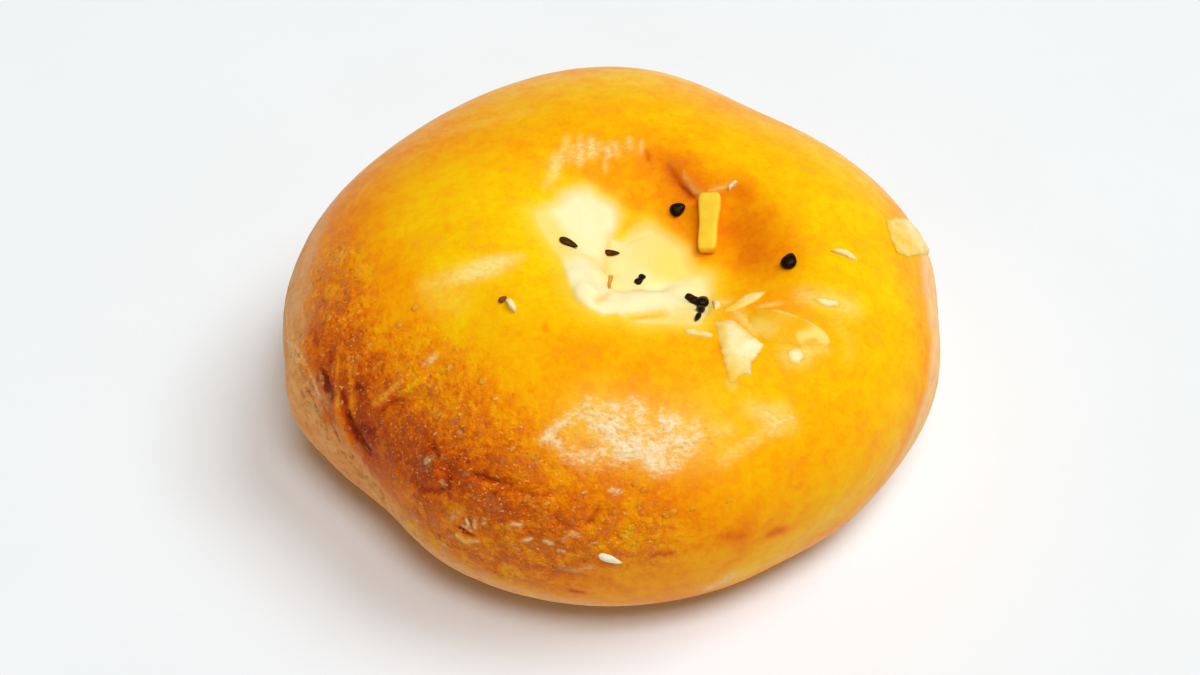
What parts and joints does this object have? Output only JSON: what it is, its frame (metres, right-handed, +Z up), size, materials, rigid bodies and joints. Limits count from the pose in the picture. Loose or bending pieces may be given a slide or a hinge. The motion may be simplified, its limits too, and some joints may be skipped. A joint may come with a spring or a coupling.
{
  "type": "red bean bun",
  "caption": "Round egg-glazed sweet bun, browned at one side, with a pressed dimple, pale folds of dough, black sesame seeds and pieces of almond on top.",
  "frame": {"origin": "middle of the flat base, at the bottom middle of the bun's box", "axes": "+Z up out of the dimple, +X along the bun's widest way, towards the right of the picture, +Y away from the picture's camera"},
  "size_m": [0.1052, 0.102, 0.0441],
  "materials": {
    "glazed_crust": "baked sweet dough with an egg wash: golden yellow on top, browned and blistered at the front left, bare tan dough low on the side, pale folds in the dimple",
    "almond": "cut almond, pale cream, partly soaked with the amber wash",
    "sesame": "black sesame seed with a dull gloss"
  },
  "bodies": {
    "root": {"bun": "glazed_crust", "almond_stick": "almond", "flake_front": "almond", "flake_amber": "almond", "flake_sliver": "almond", "flake_rim": "almond"}
  },
  "joints": []
}
